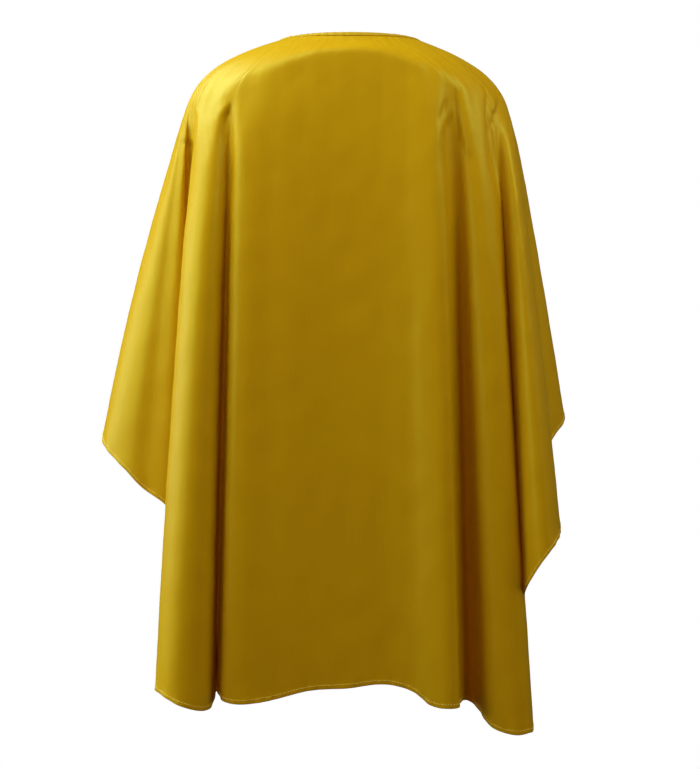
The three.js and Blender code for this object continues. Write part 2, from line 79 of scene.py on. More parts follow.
# ---------------------------------------------------------------- geometry
# Shoulder edge x, y, z and hem x, y, z in millimetres, from the left back edge
# round the front to the right back edge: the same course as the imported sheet.
KEYS = np.array([
    (-5, 92, -84, -20, 222, -405), (-30, 94, -85, -34, 236, -412), (-58, 95, -86, -54, 240, -426),
    (-86, 96, -84, -74, 200, -450), (-112, 94, -80, -106, 256, -484), (-150, 87, -85, -122, 192, -533),
    (-178, 76, -92, -168, 248, -556), (-194, 66, -97, -176, 168, -522), (-206, 56, -102, -228, 206, -484),
    (-214, 45, -106, -224, 130, -458), (-220, 33, -109, -284, 134, -464), (-223, 21, -111, -272, 82, -480),
    (-225, 9, -112, -318, 66, -503), (-225, -3, -112, -333, 24, -527.3), (-223, -15, -112, -325.7, -8, -542.4),
    (-220, -27, -111, -292.8, -40, -572.9), (-218, -31, -110.6, -267.7, -47, -596.8),
    (-216, -35, -110.2, -238.7, -56, -617.8), (-213.5, -40, -109.5, -212, -34, -715),
    (-211.5, -43.8, -108.8, -193, -28, -815), (-209, -48, -108, -187, -48, -860), (-206.5, -51.3, -107.2, -200, -76, -852),
    (-203.5, -55.3, -106.2, -234, -98, -846), (-199.5, -59.5, -104.6, -248, -126, -844.3),
    (-193, -65.3, -102.6, -238.9, -148, -847.8), (-185.5, -71.1, -99.9, -223.6, -164, -854.6),
    (-177, -77.2, -96.6, -205.8, -168, -861.5), (-169, -82.2, -93.2, -188.9, -160, -866.5),
    (-162, -86, -90, -179, -142, -867.7), (-156.5, -88.2, -87.8, -174, -124, -861.1), (-152, -90, -86, -171, -112, -849.7),
    (-148, -91.3, -83.8, -165.6, -126, -851.9), (-143, -93, -81, -160, -143, -856.8),
    (-133, -94.5, -76, -143.1, -152, -859.8), (-114, -97, -65.4, -118.1, -150, -858.8),
    (-86, -98, -52.4, -90.7, -143, -854.3), (-54, -98, -42, -58.1, -137, -846.4), (-25, -98, -35.6, -27.8, -134, -843.6),
    (0, -98, -33, 0, -132, -842.6), (20, -98, -33.9, 26.6, -131, -838.7), (38, -98, -37.2, 48.1, -132, -838.1),
    (53, -98, -41.1, 67, -136, -841.5), (67, -98, -45.2, 83.2, -142, -848.1), (80, -98, -49.7, 96.7, -150, -858.8),
    (92, -97.8, -54.9, 110.2, -157, -863.3), (103, -97, -60, 123.8, -161, -863.9), (112.5, -97, -64.3, 134.7, -156, -863.8),
    (120, -96.3, -68.3, 138.5, -134, -862), (126, -95.6, -71.7, 144.1, -114, -860.9),
    (132.5, -94.6, -75.7, 152.5, -101, -863.6), (138.5, -93.3, -79.4, 161.3, -104, -870.2),
    (144.5, -91.6, -82.9, 168.9, -124, -880.8), (151.5, -89.4, -86.9, 180.3, -142, -891.6),
    (160, -85.5, -91.5, 197.2, -151, -896.9), (168.5, -80.7, -95.6, 214.9, -149, -899.1),
    (174.5, -76.6, -98.2, 227.9, -138, -898), (178.5, -73.6, -99.7, 234.8, -118, -897.8),
    (182.5, -70.5, -101.2, 230.8, -114, -879.3), (186, -67, -102.3, 224.9, -108, -815.2),
    (190.5, -61.9, -103.6, 219.6, -110, -745.9), (196.5, -55.3, -105, 228.7, -136, -706.3),
    (203, -46.5, -106.2, 247.5, -150, -673.5), (208, -38, -107.5, 268.4, -108, -649.1),
    (212, -28, -108.7, 269.4, -50, -628.7), (215, -15, -110, 262, -20, -597.6), (217, 4, -110, 263.1, 18, -562),
    (217, 12, -110, 274.7, 52, -533.5), (216, 20, -109, 295.9, 90, -508.4), (214, 30, -107, 284, 130, -490),
    (210, 40, -105, 246, 140, -470), (205, 49, -102, 256, 176, -456), (198, 58, -99, 218, 172, -455),
    (188, 67, -96, 216, 204, -480), (176, 75, -92, 170, 178, -512), (160, 82, -88, 162, 250, -556),
    (138, 89, -84, 118, 200, -542), (112, 93, -80, 104, 258, -492), (86, 95, -84, 70, 202, -450),
    (58, 95, -86, 50, 240, -425), (30, 94, -85, 32, 234, -412), (5, 92, -84, 18, 222, -405)], float)
NECK_A, NECK_FRONT, NECK_BACK, NECK_POWER, NECK_RISE = 88.0, 65.0, 62.0, 4, 6.0


def smooth(a, b, x):
    u = np.clip((x - a) / (b - a), 0, 1)
    return u * u * (3 - 2 * u)


def unit(v):
    return v / np.maximum(np.linalg.norm(v, axis=-1, keepdims=True), 1e-12)


def key_spline(rows, power=0.7):
    """Natural cubic through the rows; returns a function of the parameter and its end."""
    dh = np.linalg.norm(np.diff(rows[:, 3:6], axis=0), axis=1)
    t = np.concatenate([[0], np.cumsum(dh**power + 2)])
    m, h = len(t), np.diff(t)
    a, r = np.eye(m), np.zeros_like(rows)
    for i in range(1, m - 1):
        a[i, i - 1 : i + 2] = h[i - 1], 2 * (h[i - 1] + h[i]), h[i]
        r[i] = 6 * ((rows[i + 1] - rows[i]) / h[i] - (rows[i] - rows[i - 1]) / h[i - 1])
    second = np.linalg.solve(a, r)

    def at(s):
        s = np.asarray(s, float)
        k = np.clip(np.searchsorted(t, s, side="right") - 1, 0, m - 2)
        p, q, hk = (t[k + 1] - s)[:, None], (s - t[k])[:, None], h[k][:, None]
        return (second[k] * p**3 + second[k + 1] * q**3) / (6 * hk) + (rows[k] / hk - second[k] * hk / 6) * p + (
            rows[k + 1] / hk - second[k + 1] * hk / 6) * q

    return at, t[-1]


def neck_point(angle):
    s, c = np.sin(angle), np.cos(angle)
    front = 1 / np.hypot(s / NECK_A, c / NECK_FRONT)
    back = (np.abs(s / NECK_A) ** NECK_POWER + np.abs(c / NECK_BACK) ** NECK_POWER) ** (-1 / NECK_POWER)
    r = np.where(c >= 0, front, back)
    y = -r * c
    return np.stack([r * s, y, NECK_RISE * smooth(-10, NECK_BACK, y)], -1)


def neck_frame(angle):
    p = neck_point(angle)
    tangent = unit(neck_point(angle + 0.01) - neck_point(angle - 0.01))
    out = unit(np.stack([tangent[:, 1], -tangent[:, 0], 0 * angle], -1))
    back = smooth(0.53 * np.pi, 0.77 * np.pi, np.abs(angle))
    front = 1 - smooth(0, 0.5 * np.pi, np.abs(angle))
    tilt = np.radians(17 + 33 * front + 73 * back + 4 * smooth(0, 0.3 * np.pi, angle) * (1 - smooth(0.5 * np.pi, 0.62 * np.pi, angle)))
    down = out * np.cos(tilt)[:, None]
    down[:, 2] -= np.sin(tilt)
    down = unit(down - tangent * np.sum(down * tangent, -1, keepdims=True))
    normal = unit(np.cross(down, tangent))
    return p, tangent, down, normal, back


def spread(values, at_points, reach):
    """Weighted mean of the values along the rim, over a distance of about `reach` mm."""
    s = np.concatenate([[0], np.cumsum(np.linalg.norm(np.diff(at_points, axis=0), axis=1))])
    even = np.arange(0, s[-1], 2.0)
    v = np.stack([np.interp(even, s, values[:, c]) for c in range(values.shape[1])], -1)
    k = int(3 * reach / 2)
    w = np.exp(-0.5 * (np.arange(-k, k + 1) * 2.0 / reach) ** 2)
    w /= w.sum()
    pad = np.concatenate([np.repeat(v[:1], k, 0), v, np.repeat(v[-1:], k, 0)])
    soft = sum(w[i] * pad[i : i + len(v)] for i in range(2 * k + 1))
    return np.stack([np.interp(s, even, soft[:, c]) for c in range(values.shape[1])], -1)


def columns(rows, n_shoulder, n_fall, start=0.9):
    """Mid-surface grid: columns x rows x 3, and the row's kind (0 neck .. 1 rim .. 2 hem)."""
    S, H = rows[:, :3], rows[:, 3:]
    angle = np.arctan2(S[:, 0], -S[:, 1])
    p, tangent, down, normal, back = neck_frame(angle)
    straight = (12 + 22 * back)[:, None]
    N = p + down * straight
    pts, kind = [], []
    for f in np.linspace(0, 1, 7)[:-1]:
        pts.append(p + down * (start + (straight - start) * f))
        kind.append(0.0)

    wing = smooth(150, 205, np.abs(S[:, 0])) * smooth(0.1, 0.3, np.abs(angle) / np.pi)

    def fall(t):
        g = 0.5 * (1 - np.exp(-7 * t)) / (1 - np.exp(-7)) + 0.5 * t
        bow = np.where(S[:, 0] < 0, 0.13 * t * (1 - t), 0.08 * (1 - np.exp(-14 * t)) * (1 - t) ** 1.6) * wing
        return np.stack([S[:, 0] + (H[:, 0] - S[:, 0]) * (t + 0.14 * t * (1 - t) + bow),
                         S[:, 1] + (H[:, 1] - S[:, 1]) * g, S[:, 2] + (H[:, 2] - S[:, 2]) * t], -1)

    D = unit(spread(unit(fall(0.06) - S), S, 20.0))
    d = np.linalg.norm(S - N, axis=1)[:, None]
    side = (smooth(0.12, 0.36, np.abs(angle) / np.pi) * (1 - smooth(0.55, 0.75, np.abs(angle) / np.pi)))[:, None]
    cap = (smooth(22, 42, np.degrees(np.abs(angle))) * (1 - smooth(60, 82, np.degrees(np.abs(angle)))))[:, None]
    P1, P2 = N + down * d * 0.48, S - D * d * (0.42 - 0.05 * side - 0.15 * cap)
    for i in range(n_shoulder):
        u = i / n_shoulder
        v = 1 - u
        pts.append(N * v**3 + P1 * 3 * v * v * u + P2 * 3 * v * u * u + S * u**3)
        kind.append(u)
    for i in range(n_fall + 1):
        t = (i / n_fall) ** 1.25
        pts.append(fall(t))
        kind.append(1 + t)
    return np.stack(pts, 1), np.array(kind), angle


at, t_end = key_spline(KEYS)
fine = at(np.linspace(0, t_end, 6000))
step = np.linalg.norm(np.diff(fine[:, 3:], axis=0), axis=1) + 0.8 * np.linalg.norm(np.diff(fine[:, :3], axis=0), axis=1)
arc = np.concatenate([[0], np.cumsum(step)])
N_COL = 860
s_cols = np.interp(np.linspace(0, arc[-1], N_COL), arc, np.linspace(0, t_end, 6000))
GRID, KIND, ANGLE = columns(at(s_cols), 34, 110)


def gauss_rows(g, sigma, lo, hi):
    """Smooths along each column between rows lo and hi, fading at both ends."""
    k = int(3 * sigma) + 1
    w = np.exp(-0.5 * (np.arange(-k, k + 1) / sigma) ** 2)
    w /= w.sum()
    pad = np.concatenate([np.repeat(g[:, :1], k, 1), g, np.repeat(g[:, -1:], k, 1)], 1)
    out = sum(w[i] * pad[:, i : i + g.shape[1]] for i in range(2 * k + 1))
    j = np.arange(g.shape[1])
    mask = (smooth(lo - 4, lo + 4, j) * (1 - smooth(hi - 12, hi + 12, j)))[None, :, None]
    return g * (1 - mask) + out * mask


GRID = gauss_rows(GRID, 3.0, 12, 80)


def grid_normals(g):
    du = np.gradient(g, axis=0)
    dv = np.gradient(g, axis=1)
    n = unit(np.cross(dv, du))
    return n


def arc_rows(g):
    d = np.linalg.norm(np.diff(g, axis=1), axis=2)
    return np.concatenate([np.zeros((g.shape[0], 1)), np.cumsum(d, 1)], 1)


def make_mesh(name, verts, faces, uv=None, smooth_shade=True):
    me = bpy.data.meshes.new(name)
    me.from_pydata([tuple(v) for v in verts], [], [tuple(int(i) for i in f) for f in faces])
    me.update()
    if uv is not None:
        layer = me.uv_layers.new(name="UVMap")
        idx = np.empty(len(me.loops), np.int32)
        me.loops.foreach_get("vertex_index", idx)
        layer.data.foreach_set("uv", uv[idx].astype(np.float32).ravel())
    if smooth_shade:
        me.polygons.foreach_set("use_smooth", np.ones(len(me.polygons), bool))
    ob = bpy.data.objects.new(name, me)
    scene.collection.objects.link(ob)
    return ob


def grid_faces(nc, nr, offset=0, flip=False):
    i, j = np.meshgrid(np.arange(nc - 1), np.arange(nr - 1), indexing="ij")
    a = (offset + i * nr + j).ravel()
    quads = np.stack([a, a + 1, a + nr + 1, a + nr], 1)
    return quads[:, ::-1] if flip else quads


# ------------------------------------------------ fine rows and columns at the hems
HEM_D = np.array([9.0, 7.5, 6.6, 6.0, 5.5, 5.0, 4.4, 3.4, 2.2, 1.2, 0.55, 0.2, 0.0])
STITCH_ROW = 5


def along(points, cum, target):
    """Points on a polyline (n x 3, cumulative length cum) at the target lengths."""
    return np.stack([np.interp(target, cum, points[:, c]) for c in range(3)], -1)


def refine_rows(g):
    a = arc_rows(g)
    out = []
    for i in range(g.shape[0]):
        length = a[i, -1]
        base = a[i] * (length - HEM_D[0] - 1.5) / length
        out.append(along(g[i], a[i], np.concatenate([base, length - HEM_D])))
    return np.stack(out)


def refine_side(g, k=14):
    """Adds columns at the hem distances beside column 0."""
    d = np.linalg.norm(np.diff(g[: k + 1], axis=0), axis=2)
    u = np.concatenate([np.zeros((1, g.shape[1])), np.cumsum(d, 0)])
    reach = HEM_D[0] + 1.5
    rows = []
    for j in range(g.shape[1]):
        rest = reach + (u[k, j] - reach) * np.arange(0, k + 1) / k
        rows.append(along(g[: k + 1, j], u[:, j], np.concatenate([HEM_D[::-1], rest])))
    return np.concatenate([np.stack(rows, 1), g[k + 1 :]])


GRID = refine_rows(GRID)
GRID = refine_side(GRID)
GRID = refine_side(GRID[::-1])[::-1]
nc, nr = GRID.shape[:2]
SIDE_L, SIDE_R = len(HEM_D) - 1 - STITCH_ROW, nc - len(HEM_D) + STITCH_ROW
STITCH_J = nr - len(HEM_D) + STITCH_ROW

normals = grid_normals(GRID)
MID_ANGLE = np.arctan2(GRID[:, 12, 0], -GRID[:, 12, 1])
front_col = int(np.argmin(np.abs(MID_ANGLE)))
# outward is away from the wearer: towards -Y on the front panel
if normals[front_col, 100, 1] > 0:
    normals = -normals
A = arc_rows(GRID)
UU = np.concatenate([[0], np.cumsum(np.linalg.norm(np.diff(GRID[:, nr // 2], axis=0), axis=1))])[:, None] + 0 * A
VV = A
D_HEM = A[:, -1:] - A
D_SIDE = np.full_like(A, 99.0)
for edge in (0, 1):
    g = GRID if edge == 0 else GRID[::-1]
    d = np.concatenate([np.zeros((1, nr)), np.cumsum(np.linalg.norm(np.diff(g[:40], axis=0), axis=2), 0)])
    if edge == 0:
        D_SIDE[:40] = np.minimum(D_SIDE[:40], d[:40])
    else:
        D_SIDE[-40:] = np.minimum(D_SIDE[-40:], d[:40][::-1])
D_EDGE = np.minimum(D_HEM, D_SIDE)


def waves(u, v, lu, lv, seed, n=26):
    """Band-limited noise of unit strength: wavelengths near lu across and lv along."""
    rng = np.random.default_rng(seed)
    out = np.zeros_like(u)
    for _ in range(n):
        th, ph, k = rng.uniform(0, 2 * np.pi), rng.uniform(0, 2 * np.pi), rng.uniform(0.7, 1.4)
        out += np.cos(2 * np.pi * k * (u * np.cos(th) / lu + v * np.sin(th) / lv) + ph)
    return out * np.sqrt(2 / n)


def view_xy(g):
    k = 1950 / (2600 + g[..., 1])
    return 350 + g[..., 0] * k, 384.5 - (g[..., 2] + 458) * k


# Pinches and creases where the cloth turns over the shoulders: a course in the
# front elevation, each point with a width and a depth (minus stands out), all
# in units of the elevation (1.33 mm).
CREASES = [
    # left shoulder
    ([(194.6, 107.5), (193.6, 118), (192.2, 134), (190.5, 158), (188.5, 190), (185, 230)], (1.5, 2.4, 3.4, 4.5, 5.5, 6), (1.5, 4.2, 5.0, 4.0, 2.5, 0)),
    ([(199.5, 112), (199, 125), (197.5, 145), (195, 175)], (3.5, 4, 5, 6), (-0.8, -1.8, -1.5, 0)),
    ([(180.5, 142.5), (184, 144), (188, 145.2), (192, 146.5)], (1.4, 1.8, 2.0, 1.8), (1.0, 2.4, 2.4, 1.0)),
    ([(181.5, 137), (187, 138.5)], (3.0, 3.2), (-1.0, -1.0)),
    ([(231.3, 106), (228.3, 112), (225.2, 120), (223.6, 133), (224, 150), (226, 175), (227, 210)], (1.4, 2.6, 4.4, 6.5, 7.5, 8, 8), (2.0, 5.0, 6.5, 6.0, 4.0, 2.0, 0)),
    ([(225, 108), (220.5, 122), (217, 138), (214, 165)], (3.4, 4.0, 4.6, 6), (-1.0, -2.0, -1.8, 0)),
    ([(243, 128), (243.5, 150), (243.5, 190)], (4, 5, 6), (-0.6, -1.2, 0)),
    ([(268, 110), (269, 170), (268, 260), (266, 400), (262, 560), (258, 690)], (13, 14, 15, 16, 17, 17), (0, 1.6, 2.0, 2.0, 2.0, 1.5)),
    ([(345, 130), (342, 250), (338, 450), (332, 690)], (22, 26, 28, 26), (0, 1.3, 1.6, 1.2)),
    # right shoulder
    ([(446.3, 101), (444, 108), (441.8, 117), (440.5, 128)], (1.3, 2.2, 3.2, 4.0), (1.2, 3.0, 3.0, 0.5)),
    ([(451.6, 115), (448.6, 123), (446.2, 134), (446.5, 152), (448.5, 178), (450.5, 215)], (1.3, 2.8, 4.4, 6.0, 7.5, 8), (1.5, 4.0, 5.0, 4.5, 2.5, 0)),
    ([(454.6, 89), (456.0, 101), (458.3, 121), (462.0, 141), (465.5, 156)], (1.6, 1.8, 2.0, 2.0, 1.6), (0.6, 2.4, 3.0, 2.6, 0.8)),
    ([(464, 92), (467, 112), (469, 132), (469.6, 148)], (6.0, 6.5, 5.5, 3.6), (-0.6, -2.4, -2.8, -1.8)),
    ([(469.5, 159), (470.5, 172)], (3.5, 5), (1.2, 0)),
    ([(484.0, 87), (488.0, 100), (493.5, 115.5)], (1.5, 1.8, 1.6), (0.8, 2.8, 2.2)),
    ([(485.6, 98), (486.8, 110), (488.4, 124), (490.6, 140), (494, 165), (497.5, 200)], (1.3, 1.8, 2.5, 3.8, 5.0, 6.0), (1.5, 3.5, 5.0, 5.5, 4.0, 0)),
    ([(499.3, 101), (496.4, 111), (493.4, 121), (490.8, 133)], (1.3, 1.9, 2.2, 2.4), (1.2, 3.4, 3.6, 1.5)),
    ([(493.0, 100), (494.2, 110)], (3.0, 2.4), (-1.2, -1.4)),
    ([(502.5, 120), (505.5, 145), (509, 185), (513, 230)], (5, 6, 7, 7), (-0.8, -1.8, -1.6, 0)),
    ([(505, 95), (510, 112), (513, 128)], (4, 4, 4), (0.0, 1.0, 0.0)),
    # soft run of the front under the neck
    ([(284, 60), (300, 74), (318, 82)], (10, 12, 14), (0, 1.0, 0)),
    ([(418, 60), (408, 76), (396, 84)], (9, 11, 12), (0, 1.0, 0)),
]


def crease_field(g, nrm):
    px, py = view_xy(g)
    out = np.zeros(px.shape)
    facing = 1 - smooth(-0.05, 0.35, nrm[..., 1])
    for course, widths, depths in CREASES:
        c = np.array(course, float)
        wide = max(widths) * 3.4
        gain = 0.76 if max(widths) < 10 else 1.1
        sel = (px > c[:, 0].min() - wide) & (px < c[:, 0].max() + wide) & (py > c[:, 1].min() - wide) & (py < c[:, 1].max() + wide)
        sel &= facing > 0
        x, y = px[sel], py[sel]
        best = np.full(x.shape, 1e9)
        w_at, d_at = np.ones_like(x), np.zeros_like(x)
        for k in range(len(c) - 1):
            e = c[k + 1] - c[k]
            f = np.clip(((x - c[k, 0]) * e[0] + (y - c[k, 1]) * e[1]) / (e @ e), 0, 1)
            dist = np.hypot(x - c[k, 0] - f * e[0], y - c[k, 1] - f * e[1])
            near = dist < best
            best[near] = dist[near]
            w_at[near] = (widths[k] + (widths[k + 1] - widths[k]) * f)[near]
            d_at[near] = (depths[k] + (depths[k + 1] - depths[k]) * f)[near]
        out[sel] += d_at * gain * np.exp(-((best / (1.15 * w_at)) ** 2)) * facing[sel]
    return out


shape = -crease_field(GRID, normals)
body = smooth(10, 60, A)
shape += 0.55 * waves(UU, VV, 130, 900, 3) * body * smooth(0, 200, A)
shape += 0.16 * waves(UU, VV, 46, 70, 4) * body
shape += 0.05 * waves(UU, VV, 15, 22, 5)
shape += 0.42 * waves(UU, VV, 15, 42, 6) * np.exp(-D_HEM / 9)
shape += 0.30 * waves(UU, VV, 40, 13, 7) * np.exp(-D_SIDE / 8)
shape += 0.22 * waves(np.degrees(MID_ANGLE)[:, None] * 1.4 + 0 * A, VV, 9, 60, 8) * np.exp(-np.maximum(A - 6, 0) / 16) * smooth(5.5, 10, A)
shape *= smooth(4.5, 9, A)
GRID = GRID + normals * shape[..., None]
normals2 = grid_normals(GRID)
normals = np.where(np.sum(normals * normals2, -1, keepdims=True) < 0, -normals2, normals2)

# Turned hem: three layers in the last 6 mm, the stitch line pulled in, a rounded edge.
band = 1 - smooth(5.6, 6.4, D_EDGE)
pull = np.exp(-(((D_EDGE - 5.0) / 0.55) ** 2))
roll = np.sqrt(np.clip(1 - (1 - np.minimum(D_EDGE, 0.9) / 0.9) ** 2, 0.01, 1))
HALF = 0.25
off_out = (HALF + 0.22 * band * (0.7 + 0.3 * np.sin(np.pi * np.clip(D_EDGE / 5, 0, 1))) - 0.26 * pull) * roll
off_in = (HALF + 0.80 * band - 0.40 * pull) * roll
outer = (GRID + normals * off_out[..., None]) / 1000.0
inner = (GRID - normals * off_in[..., None]) / 1000.0
V = np.concatenate([outer.reshape(-1, 3), inner.reshape(-1, 3)])
F = [grid_faces(nc, nr), grid_faces(nc, nr, nc * nr, True)]
n2 = nc * nr
top_o, top_i = np.arange(nc) * nr, n2 + np.arange(nc) * nr
F.append(np.stack([top_o[:-1], top_o[1:], top_i[1:], top_i[:-1]], 1))
F.append(np.stack([top_o[:-1] + nr - 1, top_i[:-1] + nr - 1, top_i[1:] + nr - 1, top_o[1:] + nr - 1], 1))
r = np.arange(nr - 1)
F.append(np.stack([r, n2 + r, n2 + r + 1, r + 1], 1))
b = (nc - 1) * nr
F.append(np.stack([b + r, b + r + 1, n2 + b + r + 1, n2 + b + r], 1))
UV = np.stack([UU, VV], -1).reshape(-1, 2) / 1000.0
UV = np.concatenate([UV, UV])
sheet = make_mesh("satin_cape_sheet", V, np.concatenate(F), UV)


def stitches(name, path, up, length=2.7, pitch=3.5, radius=0.30, sides=5):
    """Thread stitches along a path (mm): each one dips into the cloth at both ends."""
    cum = np.concatenate([[0], np.cumsum(np.linalg.norm(np.diff(path, axis=0), axis=1))])
    count = max(1, int(cum[-1] // pitch))
    centre = (np.arange(count) + 0.5) * cum[-1] / count
    frac = np.array([-0.5, -0.38, 0.0, 0.38, 0.5])
    rad = np.array([0.35, 0.85, 1.0, 0.85, 0.35]) * radius
    lift = np.array([-0.22, 0.10, 0.24, 0.10, -0.22])
    at_s = (centre[:, None] + frac[None] * length).ravel()
    p, u = along(path, cum, at_s), unit(along(up, cum, at_s))
    tangent = unit(along(path, cum, at_s + 0.4) - along(path, cum, at_s - 0.4))
    side = unit(np.cross(tangent, u))
    p = p + u * np.tile(lift, count)[:, None]
    ang = np.arange(sides) * 2 * np.pi / sides
    ring = (p[:, None] + np.tile(rad, count)[:, None, None] * (side[:, None] * np.cos(ang)[None, :, None] + u[:, None] * np.sin(ang)[None, :, None]))
    verts = ring.reshape(-1, 3) / 1000.0
    faces = []
    k = np.arange(sides)
    for q in range(4):
        a = q * sides + k
        b_ = q * sides + (k + 1) % sides
        faces.append(np.stack([a, b_, b_ + sides, a + sides], 1))
    one = np.concatenate(faces)
    quads = (one[None] + (np.arange(count) * 5 * sides)[:, None, None]).reshape(-1, 4)
    me = bpy.data.meshes.new(name)
    caps = []
    for c in range(count):
        caps.append([c * 5 * sides + int(i) for i in k[::-1]])
        caps.append([c * 5 * sides + 4 * sides + int(i) for i in k])
    me.from_pydata([tuple(v) for v in verts], [], [tuple(int(i) for i in f) for f in quads] + caps)
    me.update()
    me.polygons.foreach_set("use_smooth", np.ones(len(me.polygons), bool))
    ob = bpy.data.objects.new(name, me)
    scene.collection.objects.link(ob)
    return ob


def hem_path(face, sign):
    """Stitch course down one slit edge, round the hem and up the other edge."""
    jj = np.arange(22, STITCH_J)
    ii = np.arange(SIDE_L, SIDE_R + 1)
    p = np.concatenate([face[SIDE_L, jj], face[ii, STITCH_J], face[SIDE_R, jj[::-1]]]) * 1000.0
    u = np.concatenate([normals[SIDE_L, jj], normals[ii, STITCH_J], normals[SIDE_R, jj[::-1]]]) * sign
    return p, u


hem_thread_out = stitches("hem_stitching_outside", *hem_path(outer, 1), length=3.15, pitch=3.7, radius=0.58)
hem_thread_in = stitches("hem_stitching_inside", *hem_path(inner, -1), length=3.15, pitch=3.7, radius=0.58)

# ------------------------------------------------------------- neck binding tape
BIND_ANG = np.linspace(MID_ANGLE[0], MID_ANGLE[-1], 620)
bp, bt, bd, bn, _ = neck_frame(BIND_ANG)
s_mm = np.concatenate([[0], np.cumsum(np.linalg.norm(np.diff(bp, axis=0), axis=1))])
pucker = 1 + 0.10 * waves(s_mm, s_mm * 0, 7, 7, 21) + 0.05 * waves(s_mm, s_mm * 0, 3.4, 3, 22)
PROFILE = [(7.0, 0.62), (6.9, 1.02), (6.4, 1.16), (5.9, 0.98), (5.5, 0.92), (5.1, 1.00), (4.2, 1.26), (3.0, 1.34), (1.8, 1.28), (0.9, 1.10),
           (0.35, 0.80), (0.08, 0.42), (0.0, 0.0)]
loop = [(d, o) for d, o in PROFILE] + [(d, -o) for d, o in PROFILE[-2::-1]]
inner_loop = [(7.0, -0.40), (3.5, -0.38), (1.0, -0.36), (0.62, -0.2), (0.56, 0.0), (0.62, 0.2), (1.0, 0.36), (3.5, 0.38), (7.0, 0.40)]
ring = loop + inner_loop
rows_b = []
for k, (d, o) in enumerate(ring):
    outerish = k < len(loop)
    wob = (pucker if outerish else np.ones_like(pucker))
    dd = d + (0.25 * waves(s_mm, s_mm * 0, 11, 9, 30 + (0 if o > 0 else 1)) if (outerish and d > 5.8) else 0 * s_mm)
    rows_b.append(bp + bd * dd[:, None] + bn * (o * wob)[:, None])
RB = np.stack(rows_b, 1)
mb, kb = RB.shape[:2]
faces_b = []
for k in range(kb):
    i = np.arange(mb - 1)
    a, b2 = i * kb + k, i * kb + (k + 1) % kb
    faces_b.append(np.stack([a, b2, b2 + kb, a + kb], 1))
# end caps: quads between the outer and the inner contour
cap_pairs = []
lo, li = len(loop), len(inner_loop)
outer_idx = np.arange(lo)
inner_idx = lo + li - 1 - np.round(np.linspace(0, li - 1, lo)).astype(int)
for e, base in enumerate((0, (mb - 1) * kb)):
    for k in range(lo - 1):
        q = [base + outer_idx[k], base + outer_idx[k + 1], base + inner_idx[k + 1], base + inner_idx[k]]
        if q[2] == q[3]:
            q = q[:3]
        cap_pairs.append(q[::-1] if e == 0 else q)
uvb = np.stack([np.repeat(s_mm[:, None], kb, 1), np.tile(np.concatenate([[0], np.cumsum(np.hypot(*np.diff(np.array(ring), axis=0).T))])[None], (mb, 1))], -1).reshape(-1, 2) / 1000
me_faces = [tuple(int(i) for i in f) for f in np.concatenate(faces_b)] + [tuple(int(i) for i in f) for f in cap_pairs]
binding = make_mesh("neck_binding_tape", RB.reshape(-1, 3) / 1000.0, me_faces, uvb)
row_s = 4
bind_thread_out = stitches("binding_stitching_outside", RB[4:-4, row_s], bn[4:-4], length=2.4, pitch=3.1, radius=0.26)
bind_thread_in = stitches("binding_stitching_inside", RB[4:-4, len(loop) - 1 - row_s], -bn[4:-4], length=2.4, pitch=3.1, radius=0.26)


# ------------------------------------------------------------------ closure bands
def catmull(pts, n):
    p = np.array(pts, float)
    p = np.concatenate([[2 * p[0] - p[1]], p, [2 * p[-1] - p[-2]]])
    out = []
    for k in range(1, len(p) - 2):
        for t in np.linspace(0, 1, n, endpoint=False):
            out.append(0.5 * (2 * p[k] + (p[k + 1] - p[k - 1]) * t + (2 * p[k - 1] - 5 * p[k] + 4 * p[k + 1] - p[k + 2]) * t * t
                              + (3 * p[k] - p[k - 1] - 3 * p[k + 1] + p[k + 2]) * t**3))
    out.append(p[-2])
    return np.array(out)


